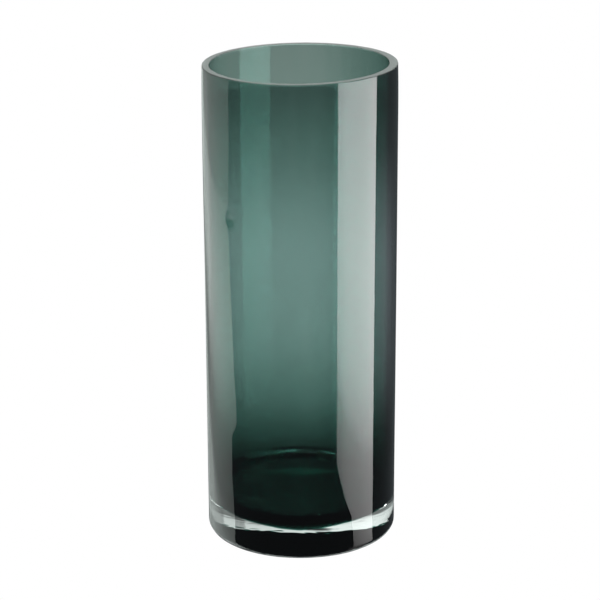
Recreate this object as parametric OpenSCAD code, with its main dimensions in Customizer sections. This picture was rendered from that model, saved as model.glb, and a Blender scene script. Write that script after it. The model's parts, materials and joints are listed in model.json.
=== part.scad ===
// Cylinder vase of cased glass: tall, straight and open at the top.
// A coloured glass lining forms the inside wall and the inside floor. A casing of clear
// glass is fused round it and under it, so the vase stands on a thick clear base.
// Millimetres. The origin is the centre of the foot and +Z runs up the vase's own axis.

/* [Body] */
// Height from the table to the top of the rim
height = 300; // [240:1:360]
// Outer diameter of the straight wall
outer_d = 118.6; // [100:0.2:140]
// Thickness of the whole wall, both glasses together
wall_t = 4.8; // [4:0.1:7]

/* [Coloured lining] */
// Thickness of the coloured wall at the rim
lining_rim_t = 1.4; // [1.2:0.1:2]
// Thickness of the coloured wall just above the floor
lining_foot_t = 2.4; // [2:0.1:3]
// Height over which the coloured wall thins out, from the floor up
lining_thin_h = 100; // [60:5:180]
// Thickness of the coloured floor
floor_t = 5; // [3:0.1:8]
// Radius of the lining's lower outer corner
lining_corner_r = 2; // [1:0.5:6]
// Radius of the corner between the inside wall and the inside floor
inner_corner_r = 5; // [3:0.5:14]

/* [Clear casing] */
// Height of the coloured floor's underside above the table
base_t = 20.5; // [14:0.5:28]
// Radius of the rounded foot
foot_r = 4.5; // [2:0.1:8]
// Width of the flat ring that the vase stands on
ring_w = 5; // [3:0.5:12]
// Depth of the hollow in the underside, at its centre
kick_d = 3.5; // [0.5:0.1:5]

/* [Rim] */
// Radius of the fire-polished edges of the rim
rim_r = 0.6; // [0.5:0.1:1.2]

/* [Hidden] */
$fa = 1;
$fs = 0.3;

outer_r = outer_d / 2;
inner_r = outer_r - wall_t;
inside_floor_z = base_t + floor_t;
// The hollow under the base is a shallow spherical cap inside the standing ring.
kick_r = outer_r - foot_r - ring_w;
kick_sphere_r = (kick_r * kick_r + kick_d * kick_d) / (2 * kick_d);
// The lining's outer wall is drawn in short straight steps along an eased curve.
thin_steps = 10;
thin_z0 = base_t + lining_corner_r;
// Overrun that lets a cut pass cleanly through a face
over = 1;

// Thickness of the coloured wall at height z: full near the floor, easing out to the rim's.
function lining_t(z) =
    let (s = min(max((z - thin_z0) / lining_thin_h, 0), 1))
    lining_rim_t + (lining_foot_t - lining_rim_t) * (1 + cos(180 * s)) / 2;

// All the 2D modules below draw right-hand half sections: x is the radius and y the height.

// What has to be cut off a square convex corner, at the origin, to round it with radius r.
// The solid lies towards -x and +y.
module corner_waste(r) {
    difference() {
        translate([-r, -over]) square([r + over, r + over]);
        translate([-r, r]) circle(r);
    }
}

// Outline of the whole vase with its inside filled.
module body_section() {
    difference() {
        square([outer_r, height]);
        translate([outer_r, 0]) corner_waste(foot_r);
        translate([outer_r, height]) mirror([0, 1]) corner_waste(rim_r);
        translate([0, kick_d - kick_sphere_r]) circle(kick_sphere_r);
    }
}

// The space inside, up through the mouth, with the rim's rounded inner edge.
module inside_section() {
    difference() {
        translate([0, inside_floor_z]) square([inner_r, height - inside_floor_z + over]);
        translate([inner_r, inside_floor_z]) corner_waste(inner_corner_r);
    }
    translate([inner_r, height]) mirror([1, 1]) rotate(-90) corner_waste(rim_r);
}

// Everything within the surface where the two glasses are fused.
module fused_surface_section() {
    wall = [for (i = [0 : thin_steps])
        let (z = thin_z0 + lining_thin_h * i / thin_steps) [inner_r + lining_t(z), z]];
    difference() {
        polygon(concat([[0, base_t], [inner_r + lining_foot_t, base_t]], wall,
            [[inner_r + lining_rim_t, height + over], [0, height + over]]));
        translate([inner_r + lining_foot_t, base_t]) corner_waste(lining_corner_r);
    }
}

// Clear outer glass: the straight wall, the thick base, the rounded foot and its hollow.
module clear_casing() {
    color([0.85, 0.93, 0.92, 0.35])
    rotate_extrude() difference() {
        body_section();
        fused_surface_section();
    }
}

// Coloured inner glass: a cup whose wall thickens towards its floor.
module coloured_lining() {
    color([0.10, 0.30, 0.27, 0.75])
    rotate_extrude() difference() {
        intersection() {
            body_section();
            fused_surface_section();
        }
        inside_section();
    }
}

clear_casing();
coloured_lining();
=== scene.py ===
"""Looks of the cased glass cylinder vase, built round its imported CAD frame. Blender 4.5, metres."""

import json
import math

import bmesh
import bpy
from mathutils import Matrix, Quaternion, Vector, noise


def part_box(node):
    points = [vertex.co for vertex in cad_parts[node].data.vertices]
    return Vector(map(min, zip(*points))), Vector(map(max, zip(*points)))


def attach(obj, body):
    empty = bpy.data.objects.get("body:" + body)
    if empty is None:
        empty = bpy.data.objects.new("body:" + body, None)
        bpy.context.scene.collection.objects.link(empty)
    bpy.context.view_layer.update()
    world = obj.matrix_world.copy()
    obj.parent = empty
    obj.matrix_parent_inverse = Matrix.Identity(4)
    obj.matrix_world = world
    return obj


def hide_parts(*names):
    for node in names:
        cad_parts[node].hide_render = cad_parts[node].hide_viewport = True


MM = 0.001

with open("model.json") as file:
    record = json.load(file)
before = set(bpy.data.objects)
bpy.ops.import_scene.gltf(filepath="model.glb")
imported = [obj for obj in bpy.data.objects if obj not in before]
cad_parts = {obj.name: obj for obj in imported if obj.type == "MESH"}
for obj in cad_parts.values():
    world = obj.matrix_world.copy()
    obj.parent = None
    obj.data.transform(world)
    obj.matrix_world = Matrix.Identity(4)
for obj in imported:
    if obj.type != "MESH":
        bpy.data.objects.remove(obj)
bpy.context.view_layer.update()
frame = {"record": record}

# ---------------------------------------------------------------- sizes of the CAD model
# The frame gives those that it knows; the others are the CAD source's own values.
_, casing_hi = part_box("clear_casing")
lining_lo, lining_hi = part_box("coloured_lining")
mouth = next(m for m in frame["record"]["mounts"] if m["name"] == "mouth")

HEIGHT = casing_hi.z
OUTER_R = casing_hi.x
INNER_R = mouth["dims"]["r_mm"] * MM
BASE_T = lining_lo.z                      # clear glass under the coloured floor
FLOOR_T = 5.0 * MM                        # coloured floor
FLOOR_Z = BASE_T + FLOOR_T
LINING_FOOT_T = lining_hi.x - INNER_R     # coloured wall just above the floor
LINING_RIM_T = 1.4 * MM                   # coloured wall at the rim
LINING_THIN_H = 100 * MM                  # height over which it thins out
LINING_CORNER_R = 2 * MM
INNER_CORNER_R = 5 * MM
FOOT_R = 4.5 * MM
RING_W = 5 * MM                           # flat ring that the vase stands on
KICK_D = 3.5 * MM                         # depth of the hollow underneath
RIM_R = 0.6 * MM                          # fire-polished edges

# ---------------------------------------------------------------- sizes of the visual model only
SKIN = 0.03 * MM                          # clear glass left over the lining's air side
GUARD = 0.15 * MM                         # from a rounding to the next ring of the straight stretch
TEAL = (0.295, 0.445, 0.415)              # light let through by the coloured wall at the rim

# How finely each stretch is drawn
TURN_STEPS = 288                          # points round each ring
UNDER_STEPS = 48
OUTSIDE_STEPS = 120
INSIDE_STEPS = 60
FLOOR_STEPS = 36
FOOT_STEPS = 10
RIM_STEPS = 6
CORNER_STEPS = 12
LINING_UNDER_STEPS = 44
LINING_CORNER_STEPS = 8

# Waves of the glass: height, length across, length upwards, seed
SWELL = [(0.13 * MM, 0.07, 0.12, 3.1)]    # slow bulges of the whole wall
STREAKS = [(0.20 * MM, 0.035, 0.16, 7.7), (0.05 * MM, 0.012, 0.11, 1.3)]    # upright, on the inside wall
FLOOR_RIPPLES = [(0.30 * MM, 0.020, 1, 5.2), (0.05 * MM, 0.006, 1, 2.2)]    # on the inside floor
UNDER_RIPPLES = [(0.08 * MM, 0.011, 1, 4.4), (0.05 * MM, 0.0045, 1, 8.8), (0.03 * MM, 0.0025, 1, 6.1)]
CASING_ROUGHNESS = 1.0                    # how strong the ripples of the vase's underside are
LINING_ROUGHNESS = 4.0                    # and those of the coloured floor's underside

LEFT_BULGE = 0.25 * MM                    # the upper wall stands out this much on the left
RIM_DRAWN_IN = 0.38 * MM                  # the rim is drawn in by this much,
DRAWN_IN_Z = 0.272                        # starting at this height
OFF_CENTRE = 0.55 * MM                    # the inside is this far left of the outside
RIM_SLOPE = 0.62 * MM                     # the rim rises to the right,
RIM_CURVE = 0.28 * MM                     # lifts at both sides
RIM_FORWARD = 0.3 * MM                    # and is higher at the front than at the back
UNDER_DENT = 0.3 * MM                     # depth of a small dent underneath,
UNDER_DENT_X = 8 * MM                     # this far right of the centre,
UNDER_DENT_R = (6 * MM, 2.5 * MM)         # and its radius across and back
# Dents of the outer wall, in millimetres: centre, radius and depth
WALL_DENTS = [((-42.6, -41.3, 215.5), 3.5, 0.35), ((-57.2, -16.5, 209.0), 3.0, 0.3)]
# Height of the coloured cup's lower edge, in millimetres
EDGE_FRONT = -1.5                         # at the very front,
EDGE_SHOULDER = 1.9                       # how much higher it is a little way round,
EDGE_SIDE_RISE = 1.6                      # how steeply it goes on rising to the side,
EDGE_LEFT_RISE = 0.6                      # and how much higher the left side is


# ---------------------------------------------------------------- profiles
def arc(centre, radius, start, end, steps):
    """Points (r, z) on an arc, from start to end in degrees, both ends included."""
    turn = [math.radians(start + (end - start) * i / steps) for i in range(steps + 1)]
    return [(centre[0] + radius * math.cos(a), centre[1] + radius * math.sin(a)) for a in turn]


def line(start, end, steps):
    """Points inside a straight stretch: not its ends, but one close to each, which keeps shading flat."""
    close = GUARD / math.dist(start, end)
    shares = [close] + [i / steps for i in range(1, steps)] + [1 - close]
    return [tuple(a + (b - a) * share for a, b in zip(start, end)) for share in shares]


def ease(s):
    """1 at 0, easing to 0 at 1."""
    s = min(max(s, 0.0), 1.0)
    return (1 + math.cos(math.pi * s)) / 2


def lining_wall_r(z):
    """Outer radius of the coloured wall at height z."""
    thinned = (z - BASE_T - LINING_CORNER_R) / LINING_THIN_H
    return INNER_R + LINING_RIM_T + (LINING_FOOT_T - LINING_RIM_T) * ease(thinned)


def glass_profile():
    """The vase's whole air surface: underside, foot, outer wall, rim, inner wall and inner floor."""
    kick_r = OUTER_R - FOOT_R - RING_W
    sphere_r = (kick_r ** 2 + KICK_D ** 2) / (2 * KICK_D)
    under = [(r, KICK_D - sphere_r + math.sqrt(sphere_r ** 2 - r ** 2))
             for r in (kick_r * i / UNDER_STEPS for i in range(UNDER_STEPS + 1))]
    foot = (line(under[-1], (OUTER_R - FOOT_R, 0), 3)
            + arc((OUTER_R - FOOT_R, FOOT_R), FOOT_R, -90, 0, FOOT_STEPS))
    rim = (arc((OUTER_R - RIM_R, HEIGHT - RIM_R), RIM_R, 0, 90, RIM_STEPS)
           + line((OUTER_R - RIM_R, HEIGHT), (INNER_R + RIM_R, HEIGHT), 3)
           + arc((INNER_R + RIM_R, HEIGHT - RIM_R), RIM_R, 90, 180, RIM_STEPS))
    corner = arc((INNER_R - INNER_CORNER_R, FLOOR_Z + INNER_CORNER_R), INNER_CORNER_R, 0, -90, CORNER_STEPS)
    floor = line(corner[-1], (0, FLOOR_Z), FLOOR_STEPS) + [(0, FLOOR_Z)]
    return (under + foot + line(foot[-1], rim[0], OUTSIDE_STEPS) + rim
            + line(rim[-1], corner[0], INSIDE_STEPS) + corner + floor)


def lining_profile():
    """The coloured cup, a hair inside the air surface: underside, wall, rim, inner wall and inner floor."""
    corner = arc((INNER_R + LINING_FOOT_T - LINING_CORNER_R, BASE_T + LINING_CORNER_R),
                 LINING_CORNER_R, -90, 0, LINING_CORNER_STEPS)
    under = [(corner[0][0] * i / LINING_UNDER_STEPS, BASE_T) for i in range(LINING_UNDER_STEPS)]
    top = HEIGHT - SKIN
    rise = (top - corner[-1][1]) / INSIDE_STEPS
    wall = [(lining_wall_r(z), z) for z in (corner[-1][1] + rise * i for i in range(1, INSIDE_STEPS + 1))]
    inner_r = INNER_R + SKIN
    rim = arc((inner_r + RIM_R, top - RIM_R), RIM_R, 90, 180, RIM_STEPS)
    floor_z = FLOOR_Z - SKIN
    inner_corner = arc((inner_r - INNER_CORNER_R, floor_z + INNER_CORNER_R),
                       INNER_CORNER_R, 0, -90, CORNER_STEPS)
    floor = line(inner_corner[-1], (0, floor_z), FLOOR_STEPS) + [(0, floor_z)]
    return (under + corner + wall + rim + line(rim[-1], inner_corner[0], INSIDE_STEPS)
            + inner_corner + floor)


# ---------------------------------------------------------------- mesh
def placed(name, mesh):
    """A new object of the scene, with this mesh."""
    thing = bpy.data.objects.new(name, mesh)
    bpy.context.scene.collection.objects.link(thing)
    return thing


def turned(name, profile, shape):
    """A closed surface of revolution whose every point is then moved by shape(point)."""
    bm = bmesh.new()
    rings = []
    for r, z in profile:
        if r < 1e-7:
            rings.append([bm.verts.new(shape(Vector((0, 0, z))))])
            continue
        rings.append([bm.verts.new(shape(Vector((r * math.cos(t), r * math.sin(t), z))))
                      for t in (2 * math.pi * k / TURN_STEPS for k in range(TURN_STEPS))])
    for low, high in zip(rings, rings[1:]):
        for k in range(TURN_STEPS):
            n = (k + 1) % TURN_STEPS
            if len(low) == 1:
                bm.faces.new((low[0], high[n], high[k]))
            elif len(high) == 1:
                bm.faces.new((low[k], low[n], high[0]))
            else:
                bm.faces.new((low[k], low[n], high[n], high[k]))
    bmesh.ops.recalc_face_normals(bm, faces=bm.faces)
    mesh = bpy.data.meshes.new(name)
    bm.to_mesh(mesh)
    bm.free()
    mesh.shade_smooth()
    return placed(name, mesh)


# ---------------------------------------------------------------- the slight unevenness of blown glass
def soft_step(value, start, end):
    """0 before start, 1 past end, smooth between."""
    s = min(max((value - start) / (end - start), 0.0), 1.0)
    return s * s * (3 - 2 * s)


def waves(point, kinds):
    """Smooth uneven waves: the sum of each kind's height times noise of its lengths."""
    return sum(height * noise.noise(Vector((point.x / length + seed, point.y / length - seed,
                                            point.z / along + seed)))
               for height, length, along, seed in kinds)


def outwards(point, r):
    """Unit vector away from the vase's own axis."""
    return Vector((point.x / r, point.y / r, 0))


def wall_shift(point, r):
    """How far the wall stands out at a point: swells, streaks on the inside, and the rim drawn in."""
    swell = waves(point, SWELL) * soft_step(point.z, 0, 20 * MM)
    # The streaks are on the wall's inner side, and fade out towards its floor and its rim.
    inner_side = (soft_step(r, INNER_R - 2 * MM, INNER_R - 0.5 * MM)
                  * (1 - soft_step(r, INNER_R + 0.4 * MM, INNER_R + 3.6 * MM)))
    upright = soft_step(point.z, FLOOR_Z, FLOOR_Z + 25 * MM) * (1 - soft_step(point.z, 0.25, HEIGHT))
    streak = waves(point, STREAKS) * inner_side * upright
    drawn_in = RIM_DRAWN_IN * (max(point.z - DRAWN_IN_Z, 0) / (HEIGHT - DRAWN_IN_Z)) ** 2
    bulge = LEFT_BULGE * soft_step(-point.x / OUTER_R, 0.5, 0.95) * soft_step(point.z, 0.16, 0.24)
    return swell + streak - drawn_in + bulge


def inside_shift(point, r):
    """How far left a point goes, because the inside is off centre.

    The wall is thinner on the left, and on the right the lining alone takes up the difference.
    """
    start = INNER_R + (2.5 - 2.2 * soft_step(point.x / OUTER_R, -0.3, 0.6)) * MM
    return OFF_CENTRE * (1 - soft_step(r, start, start + 1.2 * MM))


def rim_lift(point):
    """How far the uneven rim raises the upper wall."""
    x = point.x / OUTER_R
    lift = RIM_SLOPE * x + RIM_CURVE * x * x + RIM_FORWARD * (1 - point.y / OUTER_R)
    return lift * soft_step(point.z, 0.2, HEIGHT)


def floor_lift(point):
    """Ripples of the inside floor."""
    return waves(point, FLOOR_RIPPLES) * (1 - soft_step(abs(point.z - FLOOR_Z), 0, 2 * MM))


def underside_lift(point, under_z):
    """Ripples of an underside at height under_z, with a small dent in them."""
    near = soft_step(point.z, 0, 0.3 * MM) * (1 - soft_step(point.z, under_z + 0.2 * MM, under_z + 3 * MM))
    across, back = UNDER_DENT_R
    dent = UNDER_DENT * math.exp(-((point.x - UNDER_DENT_X) / across) ** 2 - (point.y / back) ** 2)
    return near * (waves(point, UNDER_RIPPLES) - dent)


def handmade(point, under_z, roughness):
    """Where a point of the even vase goes. roughness: how strong the ripples of the underside are."""
    p = point.copy()
    r = math.hypot(point.x, point.y)
    if r > 1e-6:
        p += outwards(point, r) * wall_shift(point, r)
        p.x -= inside_shift(point, r)
        p.z += rim_lift(point)
    p.z += floor_lift(point) + roughness * underside_lift(point, under_z)
    return p


def shaped_casing(point):
    """A point of the vase's air surface, with the dents of the outer wall."""
    p = handmade(point, KICK_D, CASING_ROUGHNESS)
    r = math.hypot(point.x, point.y)
    if r > 1e-6:
        for centre, size, depth in WALL_DENTS:
            away = (point - Vector(centre) * MM).length_squared / (size * MM) ** 2
            p -= outwards(point, r) * depth * MM * math.exp(-away)
    return p


def edge_lift(point):
    """How far the coloured cup's lower edge rises: it dips at the front and climbs towards the sides."""
    r = math.hypot(point.x, point.y)
    turn = 1 + point.y / max(r, MM)               # 0 at the front, 1 at the sides, 2 at the back
    left = soft_step(-point.x / OUTER_R, 0.5, 0.72)
    lift = (EDGE_FRONT + EDGE_SHOULDER * (1 - math.exp(-turn / 0.06))
            + EDGE_SIDE_RISE * min(turn, 0.5) + EDGE_LEFT_RISE * left)
    corner_z = BASE_T + LINING_CORNER_R
    low = 1 - soft_step(point.z, corner_z, corner_z + 6 * MM)
    return lift * MM * soft_step(r, INNER_R - 12 * MM, INNER_R) * low


def shaped_lining(point):
    """A point of the coloured cup, with its uneven lower edge."""
    p = handmade(point, BASE_T, LINING_ROUGHNESS)
    p.z += edge_lift(point)
    return p


# ---------------------------------------------------------------- materials
# Width and height of each pattern's grain
CORD_GRAIN = (9 * MM, 140 * MM)
MARK_GRAIN = (14 * MM, 30 * MM)
STREAK_GRAIN = (6 * MM, 70 * MM)
CORD_DEPTH = 0.03 * MM
MARK_ROUGHNESS = 0.006
FAINT_STREAK = (0.93, 0.965, 0.96)


def stretched_noise(tree, size, along, detail):
    """Noise whose grains are size wide and along tall, in metres, as a 0 to 1 output."""
    place = tree.nodes.new("ShaderNodeTexCoord")
    scale = tree.nodes.new("ShaderNodeMapping")
    scale.inputs["Scale"].default_value = (1 / size, 1 / size, 1 / along)
    grain = tree.nodes.new("ShaderNodeTexNoise")
    grain.inputs["Scale"].default_value = 1.0
    grain.inputs["Detail"].default_value = detail
    tree.links.new(place.outputs["Object"], scale.inputs["Vector"])
    tree.links.new(scale.outputs[0], grain.inputs["Vector"])
    return grain.outputs["Fac"]


def ramped(tree, value, stops):
    """A colour ramp of two stops over value."""
    ramp = tree.nodes.new("ShaderNodeValToRGB")
    for element, (at, colour) in zip(ramp.color_ramp.elements, stops):
        element.position = at
        element.color = (*colour, 1)
    tree.links.new(value, ramp.inputs[0])
    return ramp.outputs["Color"]


def glass_material(name, ior):
    """Smooth clear glass: the material, its node tree and its shader."""
    material = bpy.data.materials.new(name)
    material.use_nodes = True
    tree = material.node_tree
    glass = tree.nodes["Principled BSDF"]
    glass.inputs["Base Color"].default_value = (1, 1, 1, 1)
    glass.inputs["Roughness"].default_value = 0.0
    glass.inputs["IOR"].default_value = ior
    glass.inputs["Transmission Weight"].default_value = 1.0
    return material, tree, glass


def clear_glass():
    """Clear glass with upright cords, which ripple it slightly, and faint handling marks."""
    material, tree, glass = glass_material("clear_glass", 1.5)
    cords = tree.nodes.new("ShaderNodeBump")
    cords.inputs["Distance"].default_value = CORD_DEPTH
    cords.inputs["Strength"].default_value = 0.6
    tree.links.new(stretched_noise(tree, *CORD_GRAIN, 2.0), cords.inputs["Height"])
    tree.links.new(cords.outputs[0], glass.inputs["Normal"])
    marks = ramped(tree, stretched_noise(tree, *MARK_GRAIN, 4.0),
                   [(0.6, (0.0, 0.0, 0.0)), (0.85, (MARK_ROUGHNESS,) * 3)])
    tree.links.new(marks, glass.inputs["Roughness"])
    return material


def absorption(through, thickness):
    """Volume Absorption's colour and density for glass that lets this share through that thickness."""
    taken = [-math.log(t) / thickness for t in through]
    density = max(taken) / 0.95
    return [1 - t / density for t in taken], density


def teal_glass():
    """The coloured glass: fused to the clear, so its surface bends no light, and faintly streaked."""
    material, tree, glass = glass_material("teal_glass", 1.0)
    streaks = ramped(tree, stretched_noise(tree, *STREAK_GRAIN, 3.0),
                     [(0.3, FAINT_STREAK), (0.7, (1.0, 1.0, 1.0))])
    tree.links.new(streaks, glass.inputs["Base Color"])
    volume = tree.nodes.new("ShaderNodeVolumeAbsorption")
    colour, density = absorption(TEAL, LINING_RIM_T)
    volume.inputs["Color"].default_value = (*colour, 1)
    volume.inputs["Density"].default_value = density
    tree.links.new(volume.outputs[0], tree.nodes["Material Output"].inputs["Volume"])
    return material


# ---------------------------------------------------------------- pieces
# The casing's mesh is the whole vase's air surface, inside and outside, and the lining's lies just
# within it. They overlap on purpose: where two like glasses are fused nothing reflects, so the casing
# does all the bending and reflecting, and the lining only absorbs.
casing = turned("clear_casing_glass", glass_profile(), shaped_casing)
casing.data.materials.append(clear_glass())
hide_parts("clear_casing")
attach(casing, "root")

lining = turned("coloured_lining_glass", lining_profile(), shaped_lining)
lining.data.materials.append(teal_glass())
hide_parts("coloured_lining")
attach(lining, "root")


# ---------------------------------------------------------------- studio
# This isn't plain studio light. All of it comes from surfaces that glow, and each kind of ray is answered
# in its own way. The camera sees plain white. A ray that has been through the glass sees a floor and a
# sky whose levels are set below, and a ray that the glass has reflected sees the sky and two upright
# panels. The outlines and levels are fitted to one photograph's reflections, and aren't the layout of a
# real studio. The front edge of LEFT_SHAPE is made of points that another program traced back from the
# photograph. Other numbers began that way or were given, and were then corrected.
def emitter(tree, strength, tint=(1, 1, 1)):
    """An Emission node whose strength is a number or an output."""
    node = tree.nodes.new("ShaderNodeEmission")
    node.inputs["Color"].default_value = (*tint, 1)
    if isinstance(strength, float):
        node.inputs["Strength"].default_value = strength
    else:
        tree.links.new(strength, node.inputs["Strength"])
    return node.outputs[0]


def levels(tree, value, stops, top=1.0):
    """A curve through (value, level) stops, as an output. top: a value past the last stop."""
    low = stops[0][0]
    scale = tree.nodes.new("ShaderNodeMapRange")
    scale.inputs["From Min"].default_value = low
    scale.inputs["From Max"].default_value = top
    ramp = tree.nodes.new("ShaderNodeValToRGB")
    peak = max(level for _, level in stops)
    elements = ramp.color_ramp.elements
    while len(elements) < len(stops):
        elements.new(0.5)
    for element, (at, level) in zip(elements, stops):
        element.position = (at - low) / (top - low)
        element.color = (level / peak, level / peak, level / peak, 1)
    gain = tree.nodes.new("ShaderNodeMath")
    gain.operation = "MULTIPLY"
    gain.inputs[1].default_value = peak
    tree.links.new(value, scale.inputs["Value"])
    tree.links.new(scale.outputs[0], ramp.inputs[0])
    tree.links.new(ramp.outputs["Color"], gain.inputs[0])
    return gain.outputs[0]


def combined(tree, operation, first, second):
    """A Math node over two outputs."""
    math_node = tree.nodes.new("ShaderNodeMath")
    math_node.operation = operation
    tree.links.new(first, math_node.inputs[0])
    tree.links.new(second, math_node.inputs[1])
    return math_node.outputs[0]


def product(tree, first, second):
    """The two outputs multiplied."""
    return combined(tree, "MULTIPLY", first, second)


def total(tree, first, second):
    """The two outputs added."""
    return combined(tree, "ADD", first, second)


def above(tree, value, limit=0.5):
    """1 where the value is above the limit, 0 elsewhere."""
    over = tree.nodes.new("ShaderNodeMath")
    over.operation = "GREATER_THAN"
    over.inputs[1].default_value = limit
    tree.links.new(value, over.inputs[0])
    return over.outputs[0]


def mixed(tree, share, first, second):
    """The first shader where share is 0, the second where it is 1."""
    mix = tree.nodes.new("ShaderNodeMixShader")
    tree.links.new(share, mix.inputs[0])
    tree.links.new(first, mix.inputs[1])
    tree.links.new(second, mix.inputs[2])
    return mix.outputs[0]


def reflected_share(tree, path):
    """1 for a ray that the glass has reflected somewhere on its way, 0 for one that only went through."""
    return above(tree, path.outputs["Glossy Depth"])


def clear(tree):
    """A shader that lets every ray straight on."""
    return tree.nodes.new("ShaderNodeBsdfTransparent").outputs[0]


def studio_material(name):
    """An empty material: its node tree, its Light Path, the object coordinates and its output's surface."""
    material = bpy.data.materials.new(name)
    material.use_nodes = True
    tree = material.node_tree
    tree.nodes.clear()
    out = tree.nodes.new("ShaderNodeOutputMaterial")
    path = tree.nodes.new("ShaderNodeLightPath")
    place = tree.nodes.new("ShaderNodeTexCoord").outputs["Object"]
    return material, tree, path, place, out.inputs["Surface"]


def studio_world():
    """White behind the vase; from the glass a dark horizon, a bright surround, a lit patch low in front and
    a light high in front, which only rays that are both let in and reflected see."""
    world = bpy.data.worlds.new("studio")
    bpy.context.scene.world = world
    world.use_nodes = True
    tree = world.node_tree
    tree.nodes.clear()
    out = tree.nodes.new("ShaderNodeOutputWorld")
    path = tree.nodes.new("ShaderNodeLightPath")
    coord = tree.nodes.new("ShaderNodeTexCoord")
    split = tree.nodes.new("ShaderNodeSeparateXYZ")
    tree.links.new(coord.outputs["Generated"], split.inputs[0])
    across, back, height = (split.outputs[axis] for axis in "XYZ")      # height: sine of the elevation
    patch = product(tree, levels(tree, height, PATCH_HEIGHT), levels(tree, back, PATCH_BACK))
    let_in = above(tree, path.outputs["Transmission Depth"])
    light = product(tree, levels(tree, height, HIGH_LIGHT), levels(tree, across, HIGH_LIGHT_ACROSS))
    light = product(tree, light, levels(tree, back, HIGH_LIGHT_BACK))
    light = product(tree, light, product(tree, reflected_share(tree, path), let_in))
    glow = total(tree, total(tree, patch, light), levels(tree, height, REFLECTED_SKY))
    below = emitter(tree, glow, COOL)
    over = emitter(tree, glow, GREENISH)
    reflected = mixed(tree, above(tree, height, 0.0), below, over)
    sky = product(tree, levels(tree, height, THROUGH_SKY), levels(tree, across, THROUGH_ACROSS))
    through = emitter(tree, total(tree, sky, light), GREENISH)
    in_glass = mixed(tree, path.outputs["Is Transmission Ray"], reflected, through)
    seen = mixed(tree, path.outputs["Is Camera Ray"], in_glass, emitter(tree, 1.0))
    tree.links.new(seen, out.inputs["Surface"])


def studio_floor():
    """A white table. Through the glass it glows with a painted pool of light that fades with distance,
    and with painted shade under and close round the vase.
    """
    mesh = bpy.data.meshes.new("studio_floor")
    bm = bmesh.new()
    bmesh.ops.create_circle(bm, cap_ends=True, segments=96, radius=FLOOR_SPAN)
    bm.to_mesh(mesh)
    bm.free()
    floor = placed("studio_floor", mesh)
    material, tree, path, place, surface = studio_material("studio_floor")
    far = tree.nodes.new("ShaderNodeVectorMath")
    far.operation = "LENGTH"
    tree.links.new(place, far.inputs[0])
    # Painted light: the floor's glow through the glass is a painted pool of light, with painted shade round
    # the vase.
    lit = product(tree, levels(tree, far.outputs["Value"], PAINTED_FLOOR_POOL, PAINTED_FLOOR_POOL_END),
                  levels(tree, far.outputs["Value"], FAR_FADE, FLOOR_SPAN))
    in_glass = mixed(tree, reflected_share(tree, path), emitter(tree, lit, WARM), clear(tree))
    tree.links.new(mixed(tree, path.outputs["Is Camera Ray"], in_glass, emitter(tree, 1.0)), surface)
    mesh.materials.append(material)


def panel(name, x, outline, by_height, across, tint=(1, 1, 1), in_glass=True):
    """An upright lit panel beside the vase, seen only in the glass's reflections.

    outline: its corners (y, z). by_height and across: its brightness up z and the share of it along y.
    in_glass: whether a ray that a surface has just let through may meet it.
    """
    mesh = bpy.data.meshes.new(name)
    mesh.from_pydata([(x, y, z) for y, z in outline], [], [range(len(outline))])
    piece = placed(name, mesh)
    material, tree, path, place, surface = studio_material(name)
    split = tree.nodes.new("ShaderNodeSeparateXYZ")
    tree.links.new(place, split.inputs[0])
    lit = emitter(tree, product(tree, levels(tree, split.outputs["Z"], by_height, PANEL_TOP),
                                levels(tree, split.outputs["Y"], across, PANEL_BACK)), tint)
    tree.links.new(mixed(tree, reflected_share(tree, path), clear(tree), lit), surface)
    mesh.materials.append(material)
    piece.visible_camera = False
    piece.visible_diffuse = False
    piece.visible_transmission = in_glass


COOL = (0.86, 1.0, 1.08)
WARM = (1.05, 1.0, 0.965)
GREENISH = (0.90, 1.0, 0.96)
FLOOR_SPAN = 30.0                         # radius of the table
PAINTED_FLOOR_POOL_END = 3.0                            # the far end of its lit pool's curve

# Brightness of the sky. Directions run from -1 to 1: the sine of the elevation, or across and back.
REFLECTED_SKY = [(-1, 0.1), (-0.05, 0.1), (0.0, 1.0), (0.2, 1.0), (0.28, 1.1), (0.4, 1.1), (0.55, 0.6)]
THROUGH_SKY = [(-1, 0.0), (0.0, 0.12), (0.26, 0.15), (0.34, 0.72), (0.42, 0.80), (0.58, 0.8), (0.62, 2.5)]
THROUGH_ACROSS = [(-1, 1.3), (-0.12, 1.15), (0.0, 1.0), (0.2, 0.9), (0.4, 0.86), (0.41, 0.5),
                  (0.455, 0.42), (0.46, 0.5), (0.50, 0.46), (0.51, 0.78), (0.64, 0.74), (0.66, 0.35),
                  (0.8, 0.3)]
HIGH_LIGHT = [(-1, 0.0), (0.55, 0.0), (0.6, 80.0)]
HIGH_LIGHT_BACK = [(-1, 1.0), (-0.32, 1.0), (-0.28, 0.0)]
HIGH_LIGHT_ACROSS = [(-1, 0.0), (-0.62, 0.0), (-0.58, 1.0), (-0.3, 1.0), (-0.24, 0.0), (0.06, 0.0),
                     (0.1, 1.0), (0.5, 0.8), (0.6, 0.0)]
PATCH_HEIGHT = [(-1, 0.0), (-0.378, 0.0), (-0.363, 0.4), (-0.345, 1.05), (-0.322, 1.65), (-0.30, 1.85),
                (-0.279, 1.15), (-0.259, 0.4), (-0.239, 0.2), (-0.02, 0.2), (0.0, 0.0)]
PATCH_BACK = [(-1, 1.0), (-0.62, 1.0), (0.1, 0.62), (0.45, 0.5), (0.74, 0.12), (0.9, 0.0)]

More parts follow.
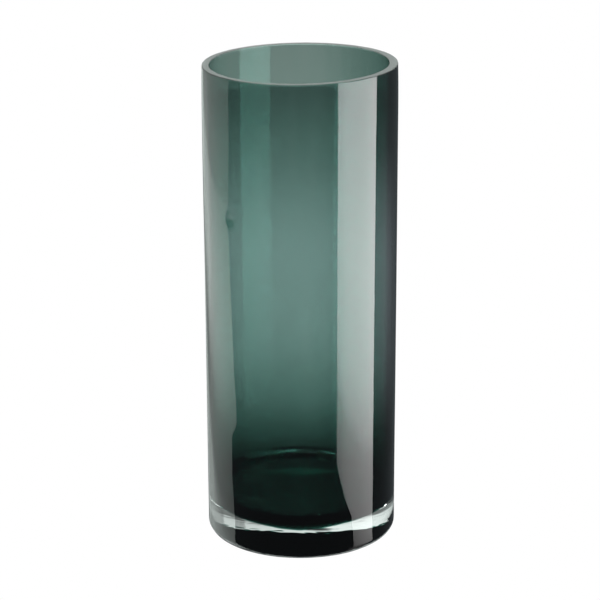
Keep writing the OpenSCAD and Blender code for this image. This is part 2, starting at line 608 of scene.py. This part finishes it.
# Brightness of the floor by distance from the vase: a painted pool of light, with painted shade under and
# close round the vase.
PAINTED_FLOOR_POOL = [(0, 0.42), (0.02, 0.3), (0.04, 0.1), (0.055, 0.04), (0.1, 0.053), (0.125, 0.233), (0.157, 0.55),
        (0.216, 0.9), (0.325, 1.02), (0.6, 1.01), (0.75, 0.86), (0.84, 0.74), (0.94, 0.64), (1.05, 0.5),
        (1.13, 0.4), (1.185, 0.35), (1.195, 0.36), (1.205, 0.545), (1.45, 0.5), (2.5, 0.7)]
FAR_FADE = [(0, 1.0), (1.6, 1.0), (3.0, 0.72), (6.0, 0.42), (12.0, 0.22)]

# The upright panels: outline (y, z), brightness up z and share of it along y.
PANEL_X = 0.30
PANEL_TOP = 0.5                           # where the brightness curves end,
PANEL_BACK = 1.2                          # upwards and backwards
RIGHT_SHAPE = [(-0.33, 0.5), (-0.347, -0.106), (-0.18, -0.108), (-0.162, -0.125), (-0.157, -0.4),
               (0.003, -0.4), (-0.002, 0.0), (0.008, 0.25), (0.008, 0.5)]
RIGHT_HEIGHT = [(-0.4, 0.4), (-0.16, 0.6), (-0.128, 1.35), (-0.10, 2.7), (-0.065, 3.3), (-0.045, 3.9),
                (-0.025, 5.4), (0.015, 7.0), (0.095, 8.3), (0.13, 8.0), (0.21, 7.2)]
RIGHT_ACROSS = [(-0.33, 0.83), (-0.312, 0.87), (-0.304, 0.80), (-0.29, 0.86), (-0.283, 0.83), (-0.26, 0.95),
                (-0.22, 1.0), (-0.17, 1.0), (-0.16, 0.97), (-0.15, 1.0), (-0.07, 1.0), (-0.06, 0.96),
                (-0.05, 1.0), (-0.01, 1.0), (0.0, 0.95)]
LEFT_SHAPE = [(1.2, 0.5), (1.2, -0.4), (-0.041, -0.4), (-0.041, -0.096), (-0.024, -0.064), (-0.025, -0.029),
              (-0.067, -0.02), (-0.061, -0.001), (-0.051, 0.015), (-0.032, 0.077), (-0.018, 0.137),
              (-0.027, 0.152), (-0.039, 0.203), (-0.041, 0.5)]
LEFT_HEIGHT = [(-0.4, 1.8), (-0.12, 1.7), (-0.1, 1.2), (-0.085, 0.95), (-0.054, 1.02), (-0.04, 1.1),
               (-0.027, 1.28), (-0.014, 1.55), (0.009, 2.05), (0.034, 2.45), (0.065, 2.7), (0.097, 2.6),
               (0.128, 2.3), (0.145, 2.1), (0.155, 1.5), (0.19, 1.3), (0.22, 1.1)]
LEFT_ACROSS = [(-0.1, 0.95), (0.05, 0.95), (0.12, 0.85), (0.2, 0.74), (0.3, 0.68), (0.36, 0.55),
               (0.45, 0.43)]

studio_world()
studio_floor()
panel("right_softbox", PANEL_X, RIGHT_SHAPE, RIGHT_HEIGHT, RIGHT_ACROSS)
panel("left_screen", -PANEL_X, LEFT_SHAPE, LEFT_HEIGHT, LEFT_ACROSS, GREENISH, in_glass=False)

# ---------------------------------------------------------------- camera
CAMERA_AWAY = 22.848 * OUTER_R            # in front of the vase's axis
CAMERA_UP = 10.291 * OUTER_R              # above the table
CAMERA_TILT = 18.765                      # degrees down
CAMERA_ROLL = -0.179                      # degrees

camera_data = bpy.data.cameras.new("camera")
camera = bpy.data.objects.new("camera", camera_data)
bpy.context.scene.collection.objects.link(camera)
camera_data.sensor_width = 36
camera_data.lens = 138.084
camera_data.shift_x = -0.00128
camera_data.clip_start = 0.05
camera_data.clip_end = 40
camera.location = (0, -CAMERA_AWAY, CAMERA_UP)
camera.rotation_mode = "QUATERNION"
camera.rotation_quaternion = (Quaternion((1, 0, 0), math.radians(90 - CAMERA_TILT))
                              @ Quaternion((0, 0, 1), math.radians(CAMERA_ROLL)))
bpy.context.scene.camera = camera

bpy.context.scene.view_settings.view_transform = "Standard"
bpy.context.scene.cycles.max_bounces = 24
bpy.context.scene.cycles.transmission_bounces = 24
bpy.context.scene.cycles.glossy_bounces = 12
